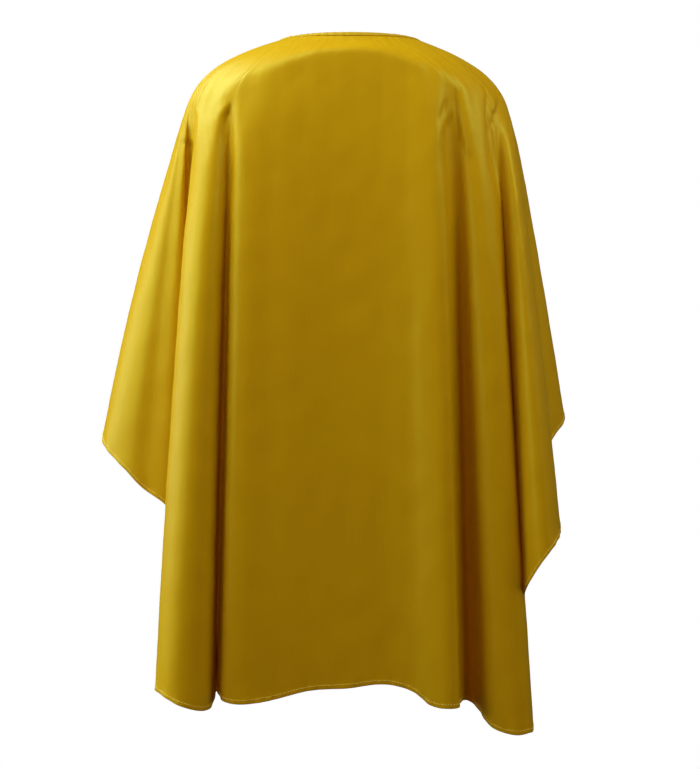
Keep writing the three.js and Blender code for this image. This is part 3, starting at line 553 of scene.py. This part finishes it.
def band_strip(name, plan, half_t, round_end, z0=-27.0, z1=-3.0, r_end=7.0, seed=50, holes=()):
    """A sewn cloth band: a flat sleeve along a plan course, its free end rounded.
    Each station is one ring; the edges are thin and rounded, the stitch line is pulled in."""
    c = np.array(plan, float)
    cum = np.concatenate([[0], np.cumsum(np.linalg.norm(np.diff(c, axis=0), axis=1))])
    total = cum[-1]
    body_s = np.arange(0, total - r_end, 0.9)
    th = np.linspace(0, np.pi / 2, 16)
    s = np.concatenate([body_s, total - r_end + r_end * np.sin(th)]) if round_end else np.linspace(0, total, int(total / 0.9))
    s = np.maximum.accumulate(s)
    x, y = np.interp(s, cum, c[:, 0]), np.interp(s, cum, c[:, 1])
    tx, ty = np.interp(s + 0.5, cum, c[:, 0]) - np.interp(s - 0.5, cum, c[:, 0]), np.interp(s + 0.5, cum, c[:, 1]) - np.interp(s - 0.5, cum, c[:, 1])
    ln = np.hypot(tx, ty)
    tx, ty = tx / ln, ty / ln
    nx, ny = -ty, tx                                   # towards +Y for a band that runs towards +X
    hw = np.full_like(s, (z1 - z0) / 2)
    if round_end:
        over = np.clip(s - (total - r_end), 0, r_end)
        hw = hw - r_end + np.sqrt(np.maximum(r_end**2 - over**2, 0.0025))
    from_end = total - s
    ht = np.interp(s, cum, half_t)
    if round_end:
        ht = ht * np.sqrt(np.clip(1 - (1 - np.minimum(from_end + 0.02, 0.8) / 0.8) ** 2, 0.02, 1))
    f = np.concatenate([-1 + (1 - np.cos(np.linspace(0, np.pi / 2, 5))) * 0.06, np.linspace(-0.90, 0.90, 21), 1 - (1 - np.cos(np.linspace(np.pi / 2, 0, 5))) * 0.06])
    fz = np.concatenate([f, f[::-1][1:-1]])
    side = np.concatenate([np.ones(len(f)), -np.ones(len(f) - 2)])
    ring_pts = []
    zc = (z0 + z1) / 2
    for k in range(len(fz)):
        e = (1 - abs(fz[k])) * hw                       # distance from the long edge
        edge = np.sqrt(np.clip(1 - (1 - np.minimum(e, 0.8) / 0.8) ** 2, 0.0, 1))
        near = np.minimum(e, from_end if round_end else 99)
        pull = np.exp(-(((near - 2.6) / 0.6) ** 2))
        quilt = 1 + 0.05 * waves(s, 0 * s + fz[k] * 12, 16, 14, seed + (1 if side[k] > 0 else 2))
        off = side[k] * ht * edge * (1 - 0.30 * pull) * quilt
        ring_pts.append(np.stack([x + nx * off, y + ny * off, zc + fz[k] * hw + 0.18 * waves(s, 0 * s, 12, 9, seed + 5)], -1))
    R_ = np.stack(ring_pts, 1)
    m_, k_ = R_.shape[:2]
    faces = []
    for k in range(k_):
        i = np.arange(m_ - 1)
        a, b2 = i * k_ + k, i * k_ + (k + 1) % k_
        faces.append(np.stack([a, b2, b2 + k_, a + k_], 1))
    faces = [tuple(int(i) for i in q) for q in np.concatenate(faces)]
    nf = len(f)
    for base, flip in ((0, False), ((m_ - 1) * k_, True)):
        for k in range(nf - 1):
            back_a = (k_ - k) % k_ if k else 0
            back_b = k_ - (k + 1) if k + 1 < nf - 1 else nf - 1
            q = [base + k, base + k + 1, base + back_b, base + back_a]
            q = list(dict.fromkeys(q))
            if len(q) >= 3:
                faces.append(tuple(q[::-1] if not flip else q))
    uv = np.stack([np.repeat(s[:, None], k_, 1), np.repeat((fz * 12)[None], m_, 0)], -1).reshape(-1, 2) / 1000
    ob = make_mesh(name, R_.reshape(-1, 3) / 1000.0, faces, uv)

    # stitch course 2.6 mm inside the edge, round the free end
    def course(sgn):
        half = hw[0] - 2.6
        st = np.linspace(1.5, total - (r_end if round_end else 1.5), 120)
        px_, py_ = np.interp(st, cum, c[:, 0]), np.interp(st, cum, c[:, 1])
        ax, ay = np.interp(st, s, nx), np.interp(st, s, ny)
        hh = np.interp(st, s, ht) * 0.74 * sgn
        up_ = np.stack([ax * sgn, ay * sgn, 0 * ax], -1)
        lower = np.stack([px_ + ax * hh, py_ + ay * hh, 0 * px_ + zc - half], -1)
        upper = np.stack([px_ + ax * hh, py_ + ay * hh, 0 * px_ + zc + half], -1)
        if not round_end:
            return [(lower, up_), (upper, up_)]
        tt = np.linspace(-np.pi / 2, np.pi / 2, 40)
        rr = r_end - 2.6
        sx = total - r_end + rr * np.cos(tt)
        # square front with rounded corners of the same inset
        corner = [(total - r_end + rr * np.cos(q), zc - (half - rr) + rr * np.sin(q)) for q in np.linspace(-np.pi / 2, 0, 12)]
        corner += [(total - r_end + rr * np.cos(q), zc + (half - rr) + rr * np.sin(q)) for q in np.linspace(0, np.pi / 2, 12)]
        cs, cz = np.array(corner).T
        ex, ey = np.interp(cs, cum, c[:, 0]), np.interp(cs, cum, c[:, 1])
        bx, by = np.interp(cs, s, nx), np.interp(cs, s, ny)
        he = ht[0] * 0.74 * sgn if False else np.interp(np.minimum(cs, total - 1.0), s, ht) * 0.74 * sgn
        endp = np.stack([ex + bx * he, ey + by * he, cz], -1)
        endu = np.stack([bx * sgn, by * sgn, 0 * bx], -1)
        return [(np.concatenate([lower, endp, upper[::-1]]), np.concatenate([up_, endu, up_[::-1]]))]

    threads = []
    for sgn, word in ((1, "outside"), (-1, "inside")):
        for n_, (pth, up_) in enumerate(course(sgn)):
            keep = np.concatenate([[True], np.linalg.norm(np.diff(pth, axis=0), axis=1) > 1e-4])
            threads.append(stitches(f"{name}_stitching_{word}" + (f"_{n_ + 1}" if n_ else ""), pth[keep], up_[keep], length=2.2, pitch=2.9, radius=0.24))
    return ob, threads


root_plan = [(-61, 61.7), (-57, 62.2), (-53, 63.1), (-50, 64.4), (-47.4, 66.4), (-45.4, 68.2), (-43.5, 69.1), (-41, 69.4), (-37, 69.4), (-20, 69.4), (0, 69.4), (20, 69.4), (38, 69.4)]
root_curve = catmull(root_plan, 10)
rc = np.concatenate([[0], np.cumsum(np.linalg.norm(np.diff(root_curve, axis=0), axis=1))])
root_half = np.interp(root_curve[:, 0], [-61, -46, -40, 38], [0.6, 0.62, 0.9, 0.9])
overlap, overlap_threads = band_strip("overlap_strap", root_curve, root_half, True, seed=60)
under_plan = [(60, 61.6), (57.5, 62.2), (55, 63.0), (52.5, 63.9), (49.5, 64.4), (46, 64.5), (40, 64.5), (20, 64.5), (0, 64.5), (-20, 64.5), (-39, 64.5)]
under_curve = catmull(under_plan, 6)
under_half = np.interp(-under_curve[:, 0], [-60, -48, -44, 39], [0.6, 0.64, 0.9, 0.9])
underlap, underlap_threads = band_strip("underlap_strap", under_curve, under_half, True, seed=80)

# ------------------------------------------------------------------ care label
lx = np.linspace(-44, -20, 25)
lz = np.concatenate([np.linspace(-3, -38.6, 26), -39.4 - 0.0 * np.arange(1), np.linspace(-38.6, -3, 26)])
side_l = np.concatenate([np.full(26, 1.0), [0.0], np.full(26, -1.0)])
LY = 59.85
lv = []
for layer in (1, -1):
    for j in range(len(lz)):
        depth = (-3 - lz[j]) / 36
        curl = 0.10 * np.sin(np.pi * (lx + 44) / 24) * depth
        yy = LY + side_l[j] * 0.13 + layer * 0.055 * (1 if side_l[j] >= 0 else -1) + curl * 0.4
        if side_l[j] == 0:
            zz = lz[j] - layer * 0.1
            yy = LY + curl * 0.4
        else:
            zz = lz[j]
        lv.append(np.stack([lx, np.broadcast_to(yy, lx.shape), np.full_like(lx, zz)], -1))
lv = np.stack(lv)
nl, ml = len(lz), len(lx)
lf = []
for layer in (0, 1):
    i, j = np.meshgrid(np.arange(nl - 1), np.arange(ml - 1), indexing="ij")
    a = (layer * nl * ml + i * ml + j).ravel()
    quad = np.stack([a, a + 1, a + ml + 1, a + ml], 1)
    lf.append(quad if layer == 0 else quad[:, ::-1])
o2 = nl * ml
j = np.arange(ml - 1)
lf.append(np.stack([j, o2 + j, o2 + j + 1, j + 1], 1))
e = (nl - 1) * ml
lf.append(np.stack([e + j, e + j + 1, o2 + e + j + 1, o2 + e + j], 1))
i = np.arange(nl - 1) * ml
lf.append(np.stack([i, i + ml, o2 + i + ml, o2 + i], 1))
i = i + ml - 1
lf.append(np.stack([i, o2 + i, o2 + i + ml, i + ml], 1))
uvl = np.stack([lv[..., 0], np.repeat(np.arange(nl), ml).reshape(nl, ml).repeat(1, 0)[None].repeat(2, 0).reshape(2 * nl, ml) * 1.4], -1).reshape(-1, 2) / 1000
label = make_mesh("care_label_tag", lv.reshape(-1, 3) / 1000.0, np.concatenate(lf), uvl)

# ---------------------------------------------------------------- materials
def new_material(name):
    m = bpy.data.materials.new(name)
    m.use_nodes = True
    nt = m.node_tree
    nt.nodes.clear()
    return m, nt, nt.nodes, nt.links


def node(nt, kind, **inputs):
    n = nt.nodes.new(kind)
    for k, v in inputs.items():
        if k in ("operation", "blend_type", "data_type", "noise_dimensions", "distribution", "feature", "wave_type", "bands_direction", "direction_type", "axis", "uv_map", "label", "interpolation"):
            setattr(n, k, v)
        else:
            n.inputs[k.replace("_", " ")].default_value = v
    return n


def link(links, a, b):
    links.new(a, b)


def satin_material(name, base, deep, rough=0.40, translucent=0.10, weave=1.0, wear=0.0):
    """Satin: fine floats of yarn that run down the cloth, a faint cross rib, soft colour drift."""
    m, nt, nodes, links = new_material(name)
    out = nodes.new("ShaderNodeOutputMaterial")
    p = nodes.new("ShaderNodeBsdfPrincipled")
    tc = nodes.new("ShaderNodeTexCoord")
    drift = node(nt, "ShaderNodeTexNoise", Scale=7.0, Detail=4.0, Roughness=0.6)
    links.new(tc.outputs["Object"], drift.inputs["Vector"])
    # slubs: long thin streaks along the warp (V) and faint ones across
    warp = node(nt, "ShaderNodeMapping")
    warp.inputs["Scale"].default_value = (900.0, 14.0, 1.0)
    links.new(tc.outputs["UV"], warp.inputs["Vector"])
    streak = node(nt, "ShaderNodeTexNoise", Scale=1.0, Detail=3.0, Roughness=0.55)
    links.new(warp.outputs["Vector"], streak.inputs["Vector"])
    weft = node(nt, "ShaderNodeMapping")
    weft.inputs["Scale"].default_value = (16.0, 1100.0, 1.0)
    links.new(tc.outputs["UV"], weft.inputs["Vector"])
    cross = node(nt, "ShaderNodeTexNoise", Scale=1.0, Detail=2.0, Roughness=0.5)
    links.new(weft.outputs["Vector"], cross.inputs["Vector"])
    # colour
    c1 = nodes.new("ShaderNodeMix")
    c1.data_type = "RGBA"
    c1.inputs["A"].default_value = (*base, 1)
    c1.inputs["B"].default_value = (*deep, 1)
    links.new(drift.outputs["Fac"], c1.inputs["Factor"])
    st = node(nt, "ShaderNodeMapRange")
    st.inputs["From Min"].default_value = 0.3
    st.inputs["From Max"].default_value = 0.7
    st.inputs["To Min"].default_value = 0.975
    st.inputs["To Max"].default_value = 1.02
    links.new(streak.outputs["Fac"], st.inputs["Value"])
    c2 = nodes.new("ShaderNodeMix")
    c2.data_type = "RGBA"
    c2.blend_type = "MULTIPLY"
    c2.inputs["Factor"].default_value = 1.0
    links.new(c1.outputs["Result"], c2.inputs["A"])
    links.new(st.outputs["Result"], c2.inputs["B"])
    links.new(c2.outputs["Result"], p.inputs["Base Color"])
    # roughness drift
    mr = node(nt, "ShaderNodeMapRange")
    mr.inputs["To Min"].default_value = rough - 0.05
    mr.inputs["To Max"].default_value = rough + 0.05
    links.new(drift.outputs["Fac"], mr.inputs["Value"])
    links.new(mr.outputs["Result"], p.inputs["Roughness"])
    # relief: yarn floats and cross rib, in metres
    add = node(nt, "ShaderNodeMath", operation="ADD")
    links.new(streak.outputs["Fac"], add.inputs[0])
    links.new(cross.outputs["Fac"], add.inputs[1])
    mottle = node(nt, "ShaderNodeTexNoise", Scale=55.0, Detail=2.0, Roughness=0.5)
    links.new(tc.outputs["Object"], mottle.inputs["Vector"])
    b1 = node(nt, "ShaderNodeBump")
    b1.inputs["Strength"].default_value = 0.10
    b1.inputs["Distance"].default_value = 0.0025
    links.new(mottle.outputs["Fac"], b1.inputs["Height"])
    b2 = node(nt, "ShaderNodeBump")
    b2.inputs["Strength"].default_value = 0.22 * weave
    b2.inputs["Distance"].default_value = 0.00022
    links.new(add.outputs[0], b2.inputs["Height"])
    links.new(b1.outputs["Normal"], b2.inputs["Normal"])
    links.new(b2.outputs["Normal"], p.inputs["Normal"])
    p.inputs["Specular IOR Level"].default_value = 0.5
    p.inputs["Specular Tint"].default_value = (0.55, 1.0, 0.14, 1)
    p.inputs["Sheen Weight"].default_value = 0.0
    p.inputs["Sheen Roughness"].default_value = 0.4
    p.inputs["Sheen Tint"].default_value = (1.0, 0.90, 0.10, 1)
    if translucent:
        tr = node(nt, "ShaderNodeBsdfTranslucent", Color=(0.88, 0.44, 0.006, 1))
        mix = node(nt, "ShaderNodeMixShader", Fac=translucent)
        links.new(p.outputs["BSDF"], mix.inputs[1])
        links.new(tr.outputs["BSDF"], mix.inputs[2])
        links.new(mix.outputs["Shader"], out.inputs["Surface"])
    else:
        links.new(p.outputs["BSDF"], out.inputs["Surface"])
    return m


def thread_material(name, colour, rough=0.45):
    m, nt, nodes, links = new_material(name)
    out = nodes.new("ShaderNodeOutputMaterial")
    p = nodes.new("ShaderNodeBsdfPrincipled")
    tc = nodes.new("ShaderNodeTexCoord")
    n = node(nt, "ShaderNodeTexNoise", Scale=900.0, Detail=2.0, Roughness=0.6)
    links.new(tc.outputs["Object"], n.inputs["Vector"])
    ramp = nodes.new("ShaderNodeMix")
    ramp.data_type = "RGBA"
    ramp.inputs["A"].default_value = (*[c * 0.82 for c in colour], 1)
    ramp.inputs["B"].default_value = (*colour, 1)
    links.new(n.outputs["Fac"], ramp.inputs["Factor"])
    links.new(ramp.outputs["Result"], p.inputs["Base Color"])
    b = node(nt, "ShaderNodeBump")
    b.inputs["Strength"].default_value = 0.5
    b.inputs["Distance"].default_value = 0.0001
    links.new(n.outputs["Fac"], b.inputs["Height"])
    links.new(b.outputs["Normal"], p.inputs["Normal"])
    p.inputs["Roughness"].default_value = rough
    p.inputs["Sheen Weight"].default_value = 0.3
    p.inputs["Sheen Roughness"].default_value = 0.4
    links.new(p.outputs["BSDF"], out.inputs["Surface"])
    return m


def fibre_material(name, colour, scale=420.0, rough=0.92):
    """Pressed non-woven fibre for the interlinings, or close ribbon for the label."""
    m, nt, nodes, links = new_material(name)
    out = nodes.new("ShaderNodeOutputMaterial")
    p = nodes.new("ShaderNodeBsdfPrincipled")
    tc = nodes.new("ShaderNodeTexCoord")
    mp = node(nt, "ShaderNodeMapping")
    mp.inputs["Scale"].default_value = (scale, scale, scale * 4)
    links.new(tc.outputs["Object"], mp.inputs["Vector"])
    n = node(nt, "ShaderNodeTexNoise", Scale=1.0, Detail=4.0, Roughness=0.7)
    links.new(mp.outputs["Vector"], n.inputs["Vector"])
    ramp = nodes.new("ShaderNodeMix")
    ramp.data_type = "RGBA"
    ramp.inputs["A"].default_value = (*[c * 0.86 for c in colour], 1)
    ramp.inputs["B"].default_value = (*colour, 1)
    links.new(n.outputs["Fac"], ramp.inputs["Factor"])
    links.new(ramp.outputs["Result"], p.inputs["Base Color"])
    b = node(nt, "ShaderNodeBump")
    b.inputs["Strength"].default_value = 0.5
    b.inputs["Distance"].default_value = 0.00025
    links.new(n.outputs["Fac"], b.inputs["Height"])
    links.new(b.outputs["Normal"], p.inputs["Normal"])
    p.inputs["Roughness"].default_value = rough
    p.inputs["Sheen Weight"].default_value = 0.15
    links.new(p.outputs["BSDF"], out.inputs["Surface"])
    return m


def metal_material(name):
    """Bright nickel plate with a fine brushed drift and small rubbed marks."""
    m, nt, nodes, links = new_material(name)
    out = nodes.new("ShaderNodeOutputMaterial")
    p = nodes.new("ShaderNodeBsdfPrincipled")
    tc = nodes.new("ShaderNodeTexCoord")
    n = node(nt, "ShaderNodeTexNoise", Scale=260.0, Detail=3.0, Roughness=0.6)
    links.new(tc.outputs["Object"], n.inputs["Vector"])
    ramp = nodes.new("ShaderNodeMix")
    ramp.data_type = "RGBA"
    ramp.inputs["A"].default_value = (0.52, 0.52, 0.53, 1)
    ramp.inputs["B"].default_value = (0.66, 0.66, 0.67, 1)
    links.new(n.outputs["Fac"], ramp.inputs["Factor"])
    links.new(ramp.outputs["Result"], p.inputs["Base Color"])
    mr = node(nt, "ShaderNodeMapRange")
    mr.inputs["To Min"].default_value = 0.20
    mr.inputs["To Max"].default_value = 0.34
    links.new(n.outputs["Fac"], mr.inputs["Value"])
    links.new(mr.outputs["Result"], p.inputs["Roughness"])
    b = node(nt, "ShaderNodeBump")
    b.inputs["Strength"].default_value = 0.15
    b.inputs["Distance"].default_value = 0.00005
    links.new(n.outputs["Fac"], b.inputs["Height"])
    links.new(b.outputs["Normal"], p.inputs["Normal"])
    p.inputs["Metallic"].default_value = 1.0
    links.new(p.outputs["BSDF"], out.inputs["Surface"])
    return m


SATIN = satin_material("satin", (0.75, 0.432, 0.005), (0.70, 0.372, 0.003), rough=0.41, translucent=0.14)
BIND = satin_material("binding_cloth", (0.62, 0.36, 0.006), (0.55, 0.30, 0.004), rough=0.46, translucent=0.0, weave=1.8)
BAND = satin_material("band_cloth", (0.68, 0.40, 0.005), (0.61, 0.34, 0.003), rough=0.42, translucent=0.0, weave=1.2)
THREAD = thread_material("sewing_thread", (0.98, 0.72, 0.07))
INTERLINING = fibre_material("interlining_fibre", (0.80, 0.78, 0.72))
LABEL = fibre_material("label_ribbon", (0.84, 0.83, 0.79), scale=900.0, rough=0.7)
METAL = metal_material("nickel_plate")


def settle(ob, mat, body, slot, *nodes_):
    ob.data.materials.clear()
    ob.data.materials.append(mat)
    if body:
        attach(ob, body)
    if nodes_:
        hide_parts(*nodes_)


settle(sheet, SATIN, "cape", "satin", "cape_sheet")
settle(hem_thread_out, THREAD, "cape", "satin")
settle(hem_thread_in, THREAD, "cape", "satin")
settle(binding, BIND, "cape", "binding_cloth", "neck_binding")
settle(bind_thread_out, THREAD, "cape", "binding_cloth")
settle(bind_thread_in, THREAD, "cape", "binding_cloth")
settle(underlap, BAND, "cape", "band_cloth", "underlap_band")
for ob in underlap_threads:
    settle(ob, THREAD, "cape", "band_cloth")
settle(label, LABEL, "cape", "label_cloth", "care_label")
settle(overlap, BAND, None, "band_cloth", "overlap_root", "overlap_tab")
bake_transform(overlap)
for ob in overlap_threads:
    settle(ob, THREAD, None, "band_cloth")
    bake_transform(ob)

for ob in list(scene.objects):
    if ob.type != "MESH" or not ob.material_slots:
        continue
    if ob.name.startswith("snap_"):
        for sl in ob.material_slots:
            sl.material = METAL
    elif ob.name in ("underlap_interlining", "overlap_interlining"):
        for sl in ob.material_slots:
            sl.material = INTERLINING

q = GRID / 1000.0
area = float(np.sum(np.linalg.norm(np.cross(q[1:, :-1] - q[:-1, :-1], q[:-1, 1:] - q[:-1, :-1]), axis=-1)))
print("sheet area m2", round(area, 3), "hem length m", round(float(np.sum(np.linalg.norm(np.diff(q[:, -1], axis=0), axis=1))), 3),
      "column lengths front/back/left/right", [round(float(A[i, -1])) for i in (front_col, 0, nc // 4, 3 * nc // 4)],
      "longest column", round(float(A[:, -1].max())), "grid", nc, nr)

# ------------------------------------------------------------------- lights
def area_light(name, loc, target, size, power, color=(1, 1, 1), size_y=None):
    d = bpy.data.lights.new(name, "AREA")
    d.energy = power
    d.color = color
    d.shape = "RECTANGLE"
    d.size = size
    d.size_y = size_y or size
    ob = bpy.data.objects.new(name, d)
    scene.collection.objects.link(ob)
    ob.location = loc
    ob.rotation_euler = (Vector(target) - Vector(loc)).to_track_quat("-Z", "Y").to_euler()
    return ob


def dome(az, el, dist=2.7):
    a, e = math.radians(az), math.radians(el)
    return (math.sin(a) * math.cos(e) * dist, -math.cos(a) * math.cos(e) * dist, math.sin(e) * dist - 0.42)


AIM = (0, 0, -0.42)
area_light("side_left", dome(-100, 45), AIM, 1.4, 59, (0.80, 1.0, 0.78))
area_light("low_left", dome(-100, 10), AIM, 1.4, 23, (0.82, 1.0, 0.8))
area_light("mid_left", dome(-64, 16), AIM, 1.4, 26, (0.88, 1.0, 0.8))
area_light("top_left", dome(-45, 62), AIM, 1.4, 29, (0.84, 1.0, 0.85))
area_light("front_soft", dome(-5, 18), AIM, 1.4, 7.5, (1.0, 0.36, 0.12))
area_light("top_right", dome(62, 42), AIM, 1.4, 33, (0.92, 1.0, 0.75))
area_light("side_right", dome(92, 20), AIM, 1.4, 5, (1.0, 0.85, 0.5))

world = bpy.data.worlds.new("studio")
scene.world = world
world.use_nodes = True
wn = world.node_tree
wn.nodes.clear()
wo = wn.nodes.new("ShaderNodeOutputWorld")
bg_cam = wn.nodes.new("ShaderNodeBackground")
bg_cam.inputs["Color"].default_value = (1, 1, 1, 1)
bg_cam.inputs["Strength"].default_value = 1.0
bg_lit = wn.nodes.new("ShaderNodeBackground")
bg_lit.inputs["Color"].default_value = (1.0, 0.99, 0.97, 1)
bg_lit.inputs["Strength"].default_value = 0.03
lp = wn.nodes.new("ShaderNodeLightPath")
mx = wn.nodes.new("ShaderNodeMixShader")
wn.links.new(lp.outputs["Is Camera Ray"], mx.inputs["Fac"])
wn.links.new(bg_lit.outputs[0], mx.inputs[1])
wn.links.new(bg_cam.outputs[0], mx.inputs[2])
wn.links.new(mx.outputs[0], wo.inputs["Surface"])

ring_r = np.array([0.0, 0.6, 1.2, 1.8, 2.4, 3.0, 3.6, 4.4])
fang = np.arange(96) * 2 * np.pi / 96
fv = [(0.0, 0.1, -1.9)] + [(r_ * math.cos(a_), 0.1 + r_ * math.sin(a_), -1.9) for r_ in ring_r[1:] for a_ in fang]
ff = [(0, 1 + k_, 1 + (k_ + 1) % 96) for k_ in range(96)]
for q_ in range(len(ring_r) - 2):
    for k_ in range(96):
        a_, b_ = 1 + q_ * 96 + k_, 1 + q_ * 96 + (k_ + 1) % 96
        ff.append((a_, a_ + 96, b_ + 96, b_))
floor = make_mesh("studio_floor", np.array(fv), ff)
floor.visible_diffuse = False
floor.visible_glossy = False
fm, fnt, fnodes, flinks = new_material("pale_floor")
fo = fnodes.new("ShaderNodeOutputMaterial")
fp = node(fnt, "ShaderNodeBsdfPrincipled", Roughness=0.8)
fp.inputs["Base Color"].default_value = (0.95, 0.80, 0.96, 1)
fe = fnodes.new("ShaderNodeEmission")
fe.inputs["Color"].default_value = (1, 1, 1, 1)
fe.inputs["Strength"].default_value = 1.0
ftc = fnodes.new("ShaderNodeTexCoord")
flen = node(fnt, "ShaderNodeVectorMath", operation="LENGTH")
fsub = node(fnt, "ShaderNodeVectorMath", operation="SUBTRACT")
fsub.inputs[1].default_value = (0.0, 0.1, -1.9)
flinks.new(ftc.outputs["Object"], fsub.inputs[0])
flinks.new(fsub.outputs["Vector"], flen.inputs[0])
fr = node(fnt, "ShaderNodeMapRange")
fr.interpolation_type = "SMOOTHSTEP"
fr.inputs["From Min"].default_value = 0.5
fr.inputs["From Max"].default_value = 3.2
flinks.new(flen.outputs["Value"], fr.inputs["Value"])
fx = fnodes.new("ShaderNodeMixShader")
flinks.new(fr.outputs["Result"], fx.inputs["Fac"])
flinks.new(fp.outputs[0], fx.inputs[1])
flinks.new(fe.outputs[0], fx.inputs[2])
flinks.new(fx.outputs[0], fo.inputs[0])
floor.data.materials.append(fm)
